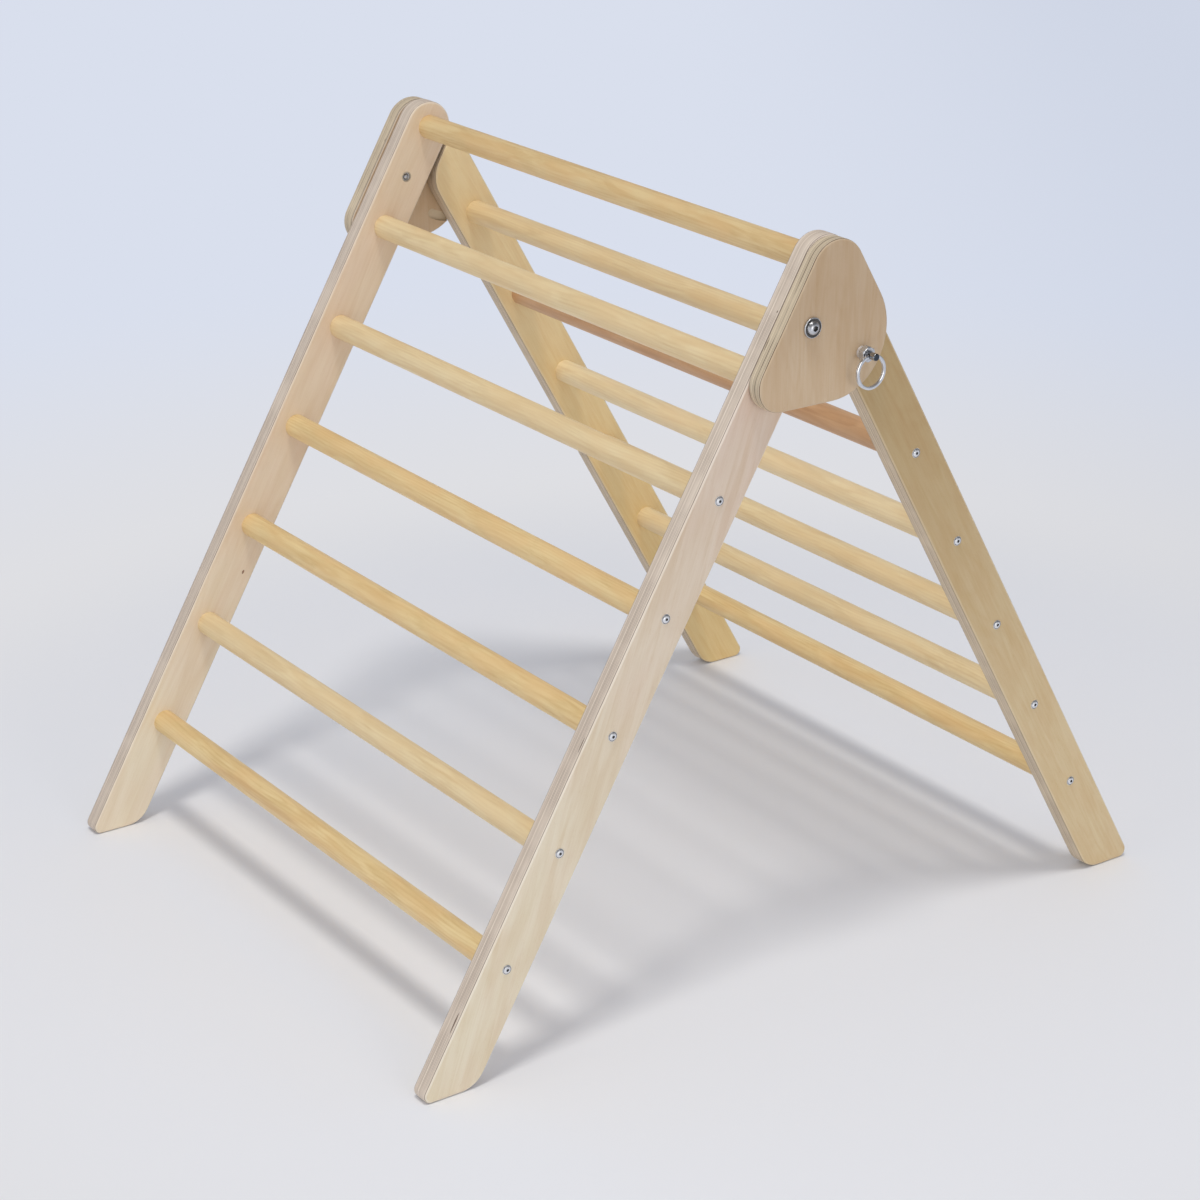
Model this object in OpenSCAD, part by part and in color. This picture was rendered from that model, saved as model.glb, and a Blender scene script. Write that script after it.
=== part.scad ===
// Folding climbing triangle.
// Two ladders lean against each other and meet at a plywood gusset on each side.
// The front ladder carries the gussets. The rear ladder turns on a concealed pivot
// in each gusset, rests against the front rails when open, and is held by an index
// plunger with a pull ring.
// Frame: X along the rungs, front feet at -Y, rear feet at +Y, floor at Z = 0.

/* [Ladders] */
// Width over the outer faces of the front rails
frame_w = 604; // [500:2:800]
// Lean of each ladder from the vertical
lean = 30; // [25:1:32]
// Distance between rung centres
pitch = 102; // [96:1:106]
// Rungs on the front ladder, with the shared top rung
front_rungs = 7; // [7:1:7]
// Rungs on the rear ladder
rear_rungs = 6; // [6:1:6]
// Height of the top rung's centre over the floor
apex_z = 628; // [626:1:660]
// Plywood thickness of the rails
ply_t = 18; // [16:1:20]
// Width of a rail
rail_w = 47; // [44:1:50]
// Diameter of a rung
rung_d = 22; // [20:1:24]
// Radius that softens the plywood edges
edge_r = 2.4; // [1:0.1:3]

/* [Feet] */
// Radius of the outer corner of a foot
toe_r = 7; // [3:1:9]
// Radius of the inner corner of a foot
heel_r = 25; // [10:1:30]

/* [Gusset] */
// Plywood thickness of a gusset
gusset_t = 15; // [12:1:18]
// Height of the gusset's lower edge over the floor
gusset_low_z = 519; // [516:0.5:522]
// Radius of the gusset's front lower corner
gusset_front_r = 22; // [10:1:26]
// Radius of the gusset's rear lower corner
gusset_rear_r = 54; // [46:1:56]
// Radius of the gusset's top
gusset_top_r = 26.5; // [24:0.5:28]
// How far the gusset stands out past the front rail's front edge
gusset_proud = 1.5; // [0:0.1:2.5]
// How far the gusset stands out past the rear rail
gusset_reach = 1.5; // [0:0.5:4]
// Radius that softens the gusset's edges
gusset_edge_r = 1.8; // [1:0.1:2.5]

/* [Fold] */
// Distance from the top rung's centre to the pivot, along the rear rail
pivot_down = 64; // [60:1:66]
// Diameter of the pivot pin
pivot_d = 12; // [10:1:12]
// Gap between the rear rail's top and the front rail
stop_gap = 2.7; // [2:0.1:4]
// Radius of the rear rail's top where it turns to its front edge
bend_r = 32; // [20:1:34]
// Radius of the rear rail's hidden tip
tip_r = 7; // [3:1:9]
// Gap between the rear rail and the gusset
slide_gap = 0.4; // [0.3:0.1:0.8]
// Distance from the top rung's centre to the plunger, along the rear rail
lock_down = 76; // [74:1:80]
// How far the plunger sits in front of the rear rail's middle
lock_front = 14; // [10:1:15]
// Travel of the plunger when its ring is pulled
lock_travel = 8; // [6:1:8]

/* [Screws] */
// Diameter of a rung screw's head
screw_head_d = 8; // [7:0.5:9]
// Height of a rung screw's head
screw_head_h = 2.2; // [1.8:0.1:2.4]
// Diameter of a rung screw's shank
screw_d = 5; // [4:0.5:5]
// Length of a rung screw under its head
screw_len = 50; // [40:1:60]
// Diameter of the gusset bolt's flange
flange_d = 17; // [16:0.5:18]
// Diameter of the gusset bolt's shank
bolt_d = 8; // [8:1:8]

/* [Pull ring] */
// Outer diameter of the ring
ring_d = 30; // [28:0.5:34]
// Diameter of the ring's wire
wire_d = 3; // [2.4:0.1:3.2]

/* [Hidden] */

$fn = 64;
eps = 0.01;

// Colours of the finishes
rail_tone = "#d9ccb0";
gusset_tone = "#c4ab84";
rung_tone = "#dfc899";
bright_steel = "#c9ccd0";
plain_steel = "#a8adb3";
brass_tone = "#b7a06a";
spring_steel = "#8f959c";

// Faces across X, on the right-hand side
rail_out = frame_w / 2;
rail_in = rail_out - ply_t;
rear_out = rail_out - slide_gap;
rear_in = rear_out - ply_t;
gusset_in = rail_out;
gusset_out = gusset_in + gusset_t;

// Directions in the side view, as [Y, Z]
apex = [0, apex_z];
front_down = [-sin(lean), -cos(lean)];
front_back = [cos(lean), -sin(lean)];
rear_down = [sin(lean), -cos(lean)];
rear_back = [cos(lean), sin(lean)];
half_w = rail_w / 2;

// A place on each ladder: down along the rail, and back across it
function on_front(down, back = 0) = apex + down * front_down + back * front_back;
function on_rear(down, back = 0) = apex + down * rear_down + back * rear_back;

// Rungs
function front_rung_at(i) = on_front((i - 1) * pitch);
function rear_rung_at(i) = on_rear(i * pitch);
pilot_len = screw_len - ply_t + 2;

// Angles of the outward normals of the side view's straight edges
front_edge_a = 180 - lean;
rear_edge_a = lean;
floor_a = 270;

// Fold hardware
pivot_at = on_rear(pivot_down);
lock_at = on_rear(lock_down, -lock_front);
pin_grip = 8;
pin_reach = 12.5;
bush_d = 16;
bush_len = 13;
running = 0.05;

// Relief for the first rear rung's screw head, as it swings under the gusset
groove_mid_r = pitch - pivot_down;
groove_w = screw_head_d + 1;
groove_depth = 3;
groove_start_a = -60;
groove_end_a = -120;
pocket_d = screw_head_d + 2;

// Gusset bolt, halfway between the top rung and the next
bolt_at = on_front(pitch / 2);
bolt_clear = 0.4;
flange_t = 1.8;
dome_d = 14;
dome_h = 4.6;
bolt_socket_af = 5;
bolt_socket_depth = 3;
insert_d = 10;
insert_len = 12;
bolt_len = gusset_t + ply_t - 2;

// Locating dowels between gusset and front rail
dowel_d = 8;
dowel_half = 8;
dowel_downs = [pitch / 4, pitch * 3 / 4];

// Index plunger, measured outwards from the gusset's outer face
barrel_d = 10;
barrel_boss = 3.5;
hex_af = 12;
hex_end = 9.5;
chamber_d = 8.2;
chamber_start = -9;
chamber_end = 7.5;
stem_d = 6;
stem_end = 19;
stem_edge = 0.8;
collar_d = 7.8;
collar_t = 2;
cross_out = 12.25;
cross_d = 3.8;
nose_back = 0.1;
lock_bush_d = 10;
lock_bush_bore = 6.2;
lock_bush_len = 10;

// Spring behind the collar
spring_wire = 0.6;
spring_mean_d = 7.1;
spring_turns = 7;
spring_sides = 6;
spring_steps = 16;
spring_from = chamber_start + collar_t + spring_wire / 2 + 0.05;
spring_to = chamber_end - spring_wire / 2 - 0.05;

// Pull ring: its wire is centred in the cross hole, and the ring hangs below
ring_mid_r = (ring_d - wire_d) / 2;
cross_half = stem_d / 2;
wire_sag = ring_mid_r - sqrt(pow(ring_mid_r, 2) - pow(cross_half, 2));
ring_drop = ring_mid_r - wire_sag / 2;

// ---------------------------------------------------------------- helpers

// Turns a side view, drawn as [Y, Z], into a board that runs from x_from along +X
module across(x_from) {
    translate([x_from, 0, 0])
        rotate([90, 0, 90])
            children();
}

// Puts a child drawn along +Z at a place in the side view, running along +X from x_from
module along_x(at, x_from) {
    translate([x_from, at[0], at[1]])
        rotate([0, 90, 0])
            children();
}

// The left-hand side mirrors the right-hand side
module left() {
    mirror([1, 0, 0])
        children();
}

// Points of one rounded corner, counterclockwise
function corner_arc(centre, r, from, to, steps) = [
    for (k = [0 : steps])
        let (a = from + (to - from) * k / steps)
            centre + r * [cos(a), sin(a)]
];

// A convex outline. Each corner is [centre, radius, first angle, last angle, steps]
function outline(corners, inset) = [
    for (c = corners)
        each corner_arc(c[0], c[1] - inset, c[2], c[3], c[4])
];

// A board with that outline and rounded edges on both faces
module board(corners, t, r) {
    hull() {
        for (a = [0, 30, 60, 90]) {
            z = r * (1 - cos(a));
            translate([0, 0, z])
                linear_extrude(t - 2 * z)
                    polygon(outline(corners, r * (1 - sin(a))));
        }
    }
}

// Centre of a circle of radius r that touches the floor line and a rail's edge.
// flip is 1 on the rear ladder and -1 on the front one.
function foot_centre(side_back, r, flip) =
    let (inside = side_back > 0 ? side_back - r : side_back + r)
    let (down = (apex_z - r + flip * inside * sin(lean)) / cos(lean))
        flip > 0 ? on_rear(down, inside) : on_front(down, inside);

// A low domed head, seated on Z = 0
module domed_head(d, h) {
    ball_r = (pow(d / 2, 2) + pow(h, 2)) / (2 * h);
    intersection() {
        translate([0, 0, h - ball_r])
            sphere(r = ball_r);
        cylinder(d = d, h = h);
    }
}

// A hexagonal prism, by its width over flats
module hex_bar(af, h) {
    cylinder(d = af / cos(30), h = h, $fn = 6);
}

// A tube swept round points on a helix along +Z
function helix_point(r, turns, rise, s) = [
    r * cos(360 * turns * s),
    r * sin(360 * turns * s),
    rise * s
];

function helix_ring(r, turns, rise, s, wire_r, sides) =
    let (a = 360 * turns * s)
    let (out = [cos(a), sin(a), 0])
    let (slope = atan2(rise, 2 * PI * r * turns))
    let (up = [sin(a) * sin(slope), -cos(a) * sin(slope), cos(slope)])
    let (c = helix_point(r, turns, rise, s)) [
        for (j = [0 : sides - 1])
            c + wire_r * (cos(360 * j / sides) * out + sin(360 * j / sides) * up)
    ];

module helix(r, turns, rise, wire_r, sides, steps) {
    n = turns * steps;
    points = [
        for (i = [0 : n])
            each helix_ring(r, turns, rise, i / n, wire_r, sides)
    ];
    skin = [
        for (i = [0 : n - 1], j = [0 : sides - 1])
            let (a = i * sides + j, b = i * sides + (j + 1) % sides)
                each [[a, b, b + sides], [a, b + sides, a + sides]]
    ];
    first = [for (j = [1 : sides - 2]) [0, j + 1, j]];
    last = [for (j = [1 : sides - 2]) [n * sides, n * sides + j, n * sides + j + 1]];
    polyhedron(points, concat(skin, first, last));
}

// ---------------------------------------------------------------- outlines

// Front rail: round top, square-cut foot with a small toe and a soft heel
front_rail_corners = [
    [apex, half_w, -rear_edge_a, front_edge_a, 24],
    [foot_centre(-half_w, toe_r, -1), toe_r, front_edge_a, floor_a, 8],
    [foot_centre(half_w, heel_r, -1), heel_r, floor_a, 360 - rear_edge_a, 8]
];

// Rear rail: its top is cut parallel to the front rail, then turns to its front edge
stop_back = half_w + stop_gap;

// Where a line parallel to the front rail meets a line along the rear rail
function stop_meets(front_line, rear_line) = [
    (front_line + rear_line) / (2 * cos(lean)),
    apex_z + (rear_line - front_line) / (2 * sin(lean))
];

bend_centre = stop_meets(stop_back + bend_r, -half_w + bend_r);
tip_centre = stop_meets(stop_back + tip_r, half_w - tip_r);

rear_rail_corners = [
    [tip_centre, tip_r, rear_edge_a, front_edge_a, 8],
    [bend_centre, bend_r, front_edge_a, 180 + rear_edge_a, 8],
    [foot_centre(-half_w, heel_r, 1), heel_r, 180 + rear_edge_a, floor_a, 8],
    [foot_centre(half_w, toe_r, 1), toe_r, floor_a, 360 + rear_edge_a, 8]
];

// Gusset: parallel to the front rail's front edge and a little proud of it, round over
// the top rung, with a wide rear lower corner that stands out past the rear rail
gusset_top_down = 3.2;
gusset_top_centre = on_front(gusset_top_down, gusset_top_r - half_w - gusset_proud);
gusset_front_z = gusset_low_z + gusset_front_r;
gusset_front_back = gusset_front_r - half_w - gusset_proud;
gusset_front_down =
    (apex_z - gusset_front_z - gusset_front_back * sin(lean)) / cos(lean);
gusset_front_centre = on_front(gusset_front_down, gusset_front_back);
gusset_rear_z = gusset_low_z + gusset_rear_r;
gusset_rear_back = half_w + gusset_reach - gusset_rear_r;
gusset_rear_down =
    (apex_z - gusset_rear_z + gusset_rear_back * sin(lean)) / cos(lean);
gusset_rear_centre = on_rear(gusset_rear_down, gusset_rear_back);
gusset_run = gusset_rear_centre - gusset_top_centre;
gusset_side_a = atan2(gusset_run[1], gusset_run[0])
    + acos((gusset_top_r - gusset_rear_r) / norm(gusset_run));

gusset_corners = [
    [gusset_top_centre, gusset_top_r, gusset_side_a, front_edge_a, 20],
    [gusset_front_centre, gusset_front_r, front_edge_a, floor_a, 14],
    [gusset_rear_centre, gusset_rear_r, floor_a, 360 + gusset_side_a, 20]
];

// ---------------------------------------------------------------- wood

// Holes for one ladder's rung screws, through the rail's thickness
module screw_holes(places, x_from) {
    for (at = places)
        along_x(at, x_from - 1)
            cylinder(d = screw_d + bolt_clear, h = ply_t + 2);
}

module front_rail() {
    color(rail_tone)
        difference() {
            across(rail_in)
                board(front_rail_corners, ply_t, edge_r);
            screw_holes([for (i = [1 : front_rungs]) front_rung_at(i)], rail_in);
            along_x(bolt_at, rail_in - 1)
                cylinder(d = bolt_d + bolt_clear, h = ply_t + 2);
            along_x(bolt_at, rail_in - 1)
                cylinder(d = insert_d, h = insert_len + 1);
            for (down = dowel_downs)
                along_x(on_front(down), rail_out - dowel_half)
                    cylinder(d = dowel_d, h = dowel_half + 1);
        }
}

module rear_rail() {
    color(rail_tone)
        difference() {
            across(rear_in)
                board(rear_rail_corners, ply_t, edge_r);
            screw_holes([for (i = [1 : rear_rungs]) rear_rung_at(i)], rear_in);
            along_x(pivot_at, rear_out - bush_len)
                cylinder(d = bush_d, h = bush_len + 1);
            along_x(lock_at, rear_out - lock_bush_len)
                cylinder(d = lock_bush_d, h = lock_bush_len + 1);
        }
}

// A rung butts against the rails' inner faces, with a pilot hole in each end
module rung(at, x_end) {
    color(rung_tone)
        difference() {
            along_x(at, -x_end)
                cylinder(d = rung_d, h = 2 * x_end);
            along_x(at, x_end - pilot_len)
                cylinder(d = screw_d, h = pilot_len + 1);
            along_x(at, -x_end - 1)
                cylinder(d = screw_d, h = pilot_len + 1);
        }
}

module front_rung(i) {
    rung(front_rung_at(i), rail_in);
}

module rear_rung(i) {
    rung(rear_rung_at(i), rear_in);
}

// The relief groove on the gusset's inner face, as a side view about the pivot
module groove_shape() {
    reach = groove_mid_r + groove_w;
    intersection() {
        difference() {
            circle(r = groove_mid_r + groove_w / 2, $fn = 96);
            circle(r = groove_mid_r - groove_w / 2, $fn = 96);
        }
        polygon([
            [0, 0],
            2 * reach * [cos(groove_end_a), sin(groove_end_a)],
            3 * reach * [cos(-90), sin(-90)],
            2 * reach * [cos(groove_start_a + 25), sin(groove_start_a + 25)]
        ]);
    }
}

module gusset() {
    color(gusset_tone)
        difference() {
            across(gusset_in)
                board(gusset_corners, gusset_t, gusset_edge_r);
            // Pivot pin's blind hole
            along_x(pivot_at, gusset_in - 1)
                cylinder(d = pivot_d, h = pin_grip + 1);
            // Plunger barrel
            along_x(lock_at, gusset_in - 1)
                cylinder(d = barrel_d, h = gusset_t + 2);
            // Bolt and dowels
            along_x(bolt_at, gusset_in - 1)
                cylinder(d = bolt_d + bolt_clear, h = gusset_t + 2);
            for (down = dowel_downs)
                along_x(on_front(down), gusset_in - 1)
                    cylinder(d = dowel_d, h = dowel_half + 1);
            // Pockets over the two upper front screw heads
            for (i = [1, 2])
                along_x(front_rung_at(i), gusset_in - 1)
                    cylinder(d = pocket_d, h = groove_depth + 1);
            // Groove for the first rear screw head, closed where the fold ends
            across(gusset_in - 1)
                translate(pivot_at)
                    linear_extrude(groove_depth + 1)
                        groove_shape();
            along_x(pivot_at + groove_mid_r * [cos(groove_end_a), sin(groove_end_a)], gusset_in - 1)
                cylinder(d = groove_w, h = groove_depth + 1);
        }
}

// ---------------------------------------------------------------- fasteners

// One rung screw at the origin, its head seated on Z = 0 and its shank along -Z
module rung_screw() {
    difference() {
        union() {
            domed_head(screw_head_d, screw_head_h);
            translate([0, 0, -screw_len])
                cylinder(d = screw_d, h = screw_len + eps);
        }
        translate([0, 0, 0.7])
            hex_bar(3.4, screw_head_h);
    }
}

module rung_screws(places, x_face) {
    color(bright_steel)
        for (at = places)
            along_x(at, x_face)
                rung_screw();
}

module front_rung_screws() {
    rung_screws([for (i = [1 : front_rungs]) front_rung_at(i)], rail_out);
}

module rear_rung_screws() {
    rung_screws([for (i = [1 : rear_rungs]) rear_rung_at(i)], rear_out);
}

// Flanged button-head bolt that clamps the gusset to the front rail
module gusset_bolt() {
    color(bright_steel)
        along_x(bolt_at, gusset_out)
            difference() {
                union() {
                    cylinder(d = flange_d, h = flange_t);
                    translate([0, 0, flange_t - eps])
                        domed_head(dome_d, dome_h - flange_t);
                    translate([0, 0, -bolt_len])
                        cylinder(d = bolt_d, h = bolt_len + eps);
                }
                translate([0, 0, dome_h - bolt_socket_depth])
                    hex_bar(bolt_socket_af, bolt_socket_depth + 1);
            }
}

// Threaded insert, flush with the front rail's inner face
module bolt_insert() {
    color(plain_steel)
        along_x(bolt_at, rail_in)
            difference() {
                cylinder(d = insert_d, h = insert_len);
                translate([0, 0, -1])
                    cylinder(d = bolt_d, h = insert_len + 2);
            }
}

module gusset_dowels() {
    color(rung_tone)
        for (down = dowel_downs)
            along_x(on_front(down), gusset_in - dowel_half)
                cylinder(d = dowel_d, h = 2 * dowel_half);
}

// ---------------------------------------------------------------- pivot and lock

// Pressed into the gusset, and free to turn in the rear rail's bush
module pivot_pin() {
    color(plain_steel)
        along_x(pivot_at, gusset_in - pin_reach)
            cylinder(d = pivot_d, h = pin_reach + pin_grip);
}

module pivot_bush() {
    color(brass_tone)
        along_x(pivot_at, rear_out - bush_len)
            difference() {
                cylinder(d = bush_d, h = bush_len);
                translate([0, 0, -1])
                    cylinder(d = pivot_d + 2 * running, h = bush_len + 2);
            }
}

// Steel bush in the rear rail, in line with the plunger's nose
module lock_bush() {
    color(plain_steel)
        along_x(lock_at, rear_out - lock_bush_len)
            difference() {
                cylinder(d = lock_bush_d, h = lock_bush_len);
                translate([0, 0, -1])
                    cylinder(d = lock_bush_bore, h = lock_bush_len + 2);
            }
}

// Hexagon with its outer corners turned down
module hex_head() {
    h = hex_end - barrel_boss;
    intersection() {
        hex_bar(hex_af, h);
        union() {
            cylinder(d = hex_af / cos(30), h = h - 0.9);
            translate([0, 0, h - 0.9])
                cylinder(d1 = hex_af / cos(30), d2 = hex_af - 0.4, h = 0.9);
        }
    }
}

// Barrel of the index plunger: threaded body, boss, hexagon and spring chamber
module lock_barrel() {
    color(plain_steel)
        along_x(lock_at, gusset_out)
            difference() {
                union() {
                    translate([0, 0, -gusset_t])
                        cylinder(d = barrel_d, h = gusset_t + barrel_boss + eps);
                    translate([0, 0, barrel_boss])
                        hex_head();
                }
                translate([0, 0, -gusset_t - 1])
                    cylinder(d = stem_d + 2 * running, h = gusset_t + hex_end + 2);
                translate([0, 0, chamber_start])
                    cylinder(d = chamber_d, h = chamber_end - chamber_start);
            }
}

// The pin that slides in the barrel, with its collar, rounded end and cross hole
module lock_pin() {
    nose = -gusset_t + nose_back;
    color(bright_steel)
        along_x(lock_at, gusset_out)
            difference() {
                union() {
                    translate([0, 0, nose])
                        rotate_extrude()
                            polygon([
                                [0, 0],
                                [stem_d / 2 - stem_edge, 0],
                                [stem_d / 2, stem_edge],
                                [stem_d / 2, stem_end - nose - stem_edge],
                                [stem_d / 2 - stem_edge / 3, stem_end - nose - stem_edge / 3],
                                [stem_d / 2 - stem_edge, stem_end - nose],
                                [0, stem_end - nose]
                            ]);
                    translate([0, 0, chamber_start])
                        cylinder(d = collar_d, h = collar_t);
                }
                translate([0, 0, cross_out])
                    rotate([90, 0, 0])
                        cylinder(d = cross_d, h = stem_d + 2, center = true);
            }
}

module pull_ring() {
    color(bright_steel)
        along_x(lock_at - [0, ring_drop], gusset_out + cross_out)
            rotate_extrude($fn = 96)
                translate([ring_mid_r, 0])
                    circle(d = wire_d, $fn = 24);
}

module lock_spring() {
    color(spring_steel)
        along_x(lock_at, gusset_out + spring_from)
            helix(spring_mean_d / 2, spring_turns, spring_to - spring_from,
                spring_wire / 2, spring_sides, spring_steps);
}

// ---------------------------------------------------------------- nodes

left() front_rail();  // front_rail_left
front_rail();  // front_rail_right
front_rung(1);  // front_rung_1
front_rung(2);  // front_rung_2
front_rung(3);  // front_rung_3
front_rung(4);  // front_rung_4
front_rung(5);  // front_rung_5
front_rung(6);  // front_rung_6
front_rung(7);  // front_rung_7
left() front_rung_screws();  // front_rung_screws_left
front_rung_screws();  // front_rung_screws_right
left() gusset();  // gusset_left
gusset();  // gusset_right
left() gusset_bolt();  // gusset_bolt_left
gusset_bolt();  // gusset_bolt_right
left() bolt_insert();  // bolt_insert_left
bolt_insert();  // bolt_insert_right
left() gusset_dowels();  // gusset_dowels_left
gusset_dowels();  // gusset_dowels_right
left() pivot_pin();  // pivot_pin_left
pivot_pin();  // pivot_pin_right
left() lock_barrel();  // lock_barrel_left
lock_barrel();  // lock_barrel_right
left() rear_rail();  // rear_rail_left
rear_rail();  // rear_rail_right
rear_rung(1);  // rear_rung_1
rear_rung(2);  // rear_rung_2
rear_rung(3);  // rear_rung_3
rear_rung(4);  // rear_rung_4
rear_rung(5);  // rear_rung_5
rear_rung(6);  // rear_rung_6
left() rear_rung_screws();  // rear_rung_screws_left
rear_rung_screws();  // rear_rung_screws_right
left() pivot_bush();  // pivot_bush_left
pivot_bush();  // pivot_bush_right
left() lock_bush();  // lock_bush_left
lock_bush();  // lock_bush_right
left() lock_pin();  // lock_pin_left
lock_pin();  // lock_pin_right
left() pull_ring();  // pull_ring_left
pull_ring();  // pull_ring_right
left() lock_spring();  // lock_spring_left
lock_spring();  // lock_spring_right
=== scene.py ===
"""Looks of a folding climbing triangle: birch plywood, round rungs and pull-ring locks.

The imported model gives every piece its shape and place. This script gives each one its
finish, adds the small metal detail that a solid leaves out, and sets up a pale studio.
"""

import logging
import math
from dataclasses import dataclass, field, replace
from enum import Enum
from typing import Sequence, Union

import bmesh
import bpy
from mathutils import Euler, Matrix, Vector


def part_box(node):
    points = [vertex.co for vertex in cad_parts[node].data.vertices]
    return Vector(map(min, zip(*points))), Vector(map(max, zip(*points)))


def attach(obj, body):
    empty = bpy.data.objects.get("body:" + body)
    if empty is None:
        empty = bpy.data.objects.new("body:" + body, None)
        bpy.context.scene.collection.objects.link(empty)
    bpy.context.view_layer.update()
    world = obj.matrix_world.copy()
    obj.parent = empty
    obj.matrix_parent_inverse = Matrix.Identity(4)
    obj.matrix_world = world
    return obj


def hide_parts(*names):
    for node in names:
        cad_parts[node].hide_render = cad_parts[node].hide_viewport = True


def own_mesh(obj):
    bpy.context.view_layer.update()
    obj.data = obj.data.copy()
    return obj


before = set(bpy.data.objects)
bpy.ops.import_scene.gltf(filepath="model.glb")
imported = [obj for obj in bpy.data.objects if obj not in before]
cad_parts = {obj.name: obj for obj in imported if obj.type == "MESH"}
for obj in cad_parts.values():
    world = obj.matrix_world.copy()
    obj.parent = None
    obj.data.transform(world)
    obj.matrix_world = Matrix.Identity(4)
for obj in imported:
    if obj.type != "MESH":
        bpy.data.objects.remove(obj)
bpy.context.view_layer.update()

log = logging.getLogger("climbing_triangle")

Colour = tuple[float, float, float, float]
Point = tuple[float, float, float]
Value = Union[float, Colour, Point, "Signal"]

MM = 0.001
FULL_TURN = 2 * math.pi


def srgb(red: float, green: float, blue: float) -> Colour:
    """Turns a colour as an eye or a paint card gives it, 0 to 255, into a linear one.

    Args:
        red: Red, from 0 to 255.
        green: Green, from 0 to 255.
        blue: Blue, from 0 to 255.

    Returns:
        The linear colour, with an alpha of 1.
    """

    def linear(part: float) -> float:
        """Removes the display curve of the sRGB standard from one part of the colour."""
        share = part / 255
        return share / 12.92 if share <= 0.04045 else ((share + 0.055) / 1.055) ** 2.4

    return (linear(red), linear(green), linear(blue), 1.0)


# ---------- names and choices


class Named(Enum):
    """A choice whose word stands in the names of the pieces."""

    @property
    def word(self) -> str:
        """The choice's word."""
        return self.name.lower()


class Side(Named):
    """The two sides of the triangle, with the sign of X on each."""

    LEFT = -1
    RIGHT = 1


class Ladder(Named):
    """The two ladders, with the sign of Y at their feet."""

    FRONT = -1
    REAR = 1


# ---------- drawing node trees


class Sheet:
    """A shader node tree being drawn, with a short call for each node used here."""

    mix_inputs = (0, 6, 7)
    mix_result = 2

    def __init__(self, tree: bpy.types.NodeTree) -> None:
        """Starts on an empty or partly drawn tree."""
        self.tree = tree

    def add(self, kind: str, **settings: object) -> bpy.types.Node:
        """Adds a node.

        Args:
            kind: The node's type, such as ShaderNodeMath.
            **settings: Properties to set on it.

        Returns:
            The new node.
        """
        made = self.tree.nodes.new(kind)
        for name, value in settings.items():
            setattr(made, name, value)
        return made

    def feed(self, socket: bpy.types.NodeSocket, value: Value) -> None:
        """Links a signal into a socket, or sets the socket to a plain value.

        Args:
            socket: The input to fill.
            value: A signal, a number, a colour or a point.
        """
        if isinstance(value, Signal):
            self.tree.links.new(value.socket, socket)
        else:
            socket.default_value = value

    def fill(self, node: bpy.types.Node, **values: Value) -> bpy.types.Node:
        """Fills a node's inputs.

        Args:
            node: The node.
            **values: Its inputs by name, with _ for a space.

        Returns:
            The same node.
        """
        for name, value in values.items():
            self.feed(node.inputs[name.replace("_", " ")], value)
        return node

    def out(self, node: bpy.types.Node, label: Union[str, int] = 0) -> "Signal":
        """A node's output, by its name or its place."""
        return Signal(self, node.outputs[label])

    def node(
        self, kind: str, *values: Value, out: Union[str, int] = 0, **settings: object
    ) -> "Signal":
        """Adds a node and fills its first inputs.

        Args:
            kind: The node's type.
            *values: Its first inputs, in order.
            out: The name or the place of the output wanted.
            **settings: Properties to set on it.

        Returns:
            The output.
        """
        made = self.add(kind, **settings)
        for socket, value in zip(made.inputs, values):
            self.feed(socket, value)
        return self.out(made, out)

    def math(self, operation: str, *values: Value, clamp: bool = False) -> "Signal":
        """The result of a Math node, kept between 0 and 1 if clamp is set."""
        return self.node("ShaderNodeMath", *values, operation=operation, use_clamp=clamp)

    def combine(self, x: Value, y: Value, z: Value) -> "Signal":
        """Joins three numbers into a vector."""
        return self.node("ShaderNodeCombineXYZ", x, y, z)

    def blend(self, share: Value, first: Value, second: Value, mode: str = "MIX") -> "Signal":
        """Mixes two colours.

        Args:
            share: How much of the second, from 0 to 1.
            first: The first colour.
            second: The second colour.
            mode: How they are mixed.

        Returns:
            The mixed colour.
        """
        made = self.add("ShaderNodeMix", data_type="RGBA", blend_type=mode)
        for place, value in zip(self.mix_inputs, (share, first, second)):
            self.feed(made.inputs[place], value)
        return self.out(made, self.mix_result)

    def group(self, name: str, **values: Value) -> dict[str, "Signal"]:
        """Places one of the shared effects.

        Args:
            name: The effect's name.
            **values: Its inputs by name, with _ for a space.

        Returns:
            Its outputs by name.
        """
        made = self.add("ShaderNodeGroup", node_tree=bpy.data.node_groups[name])
        self.fill(made, **values)
        return {socket.name: Signal(self, socket) for socket in made.outputs}


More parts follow.
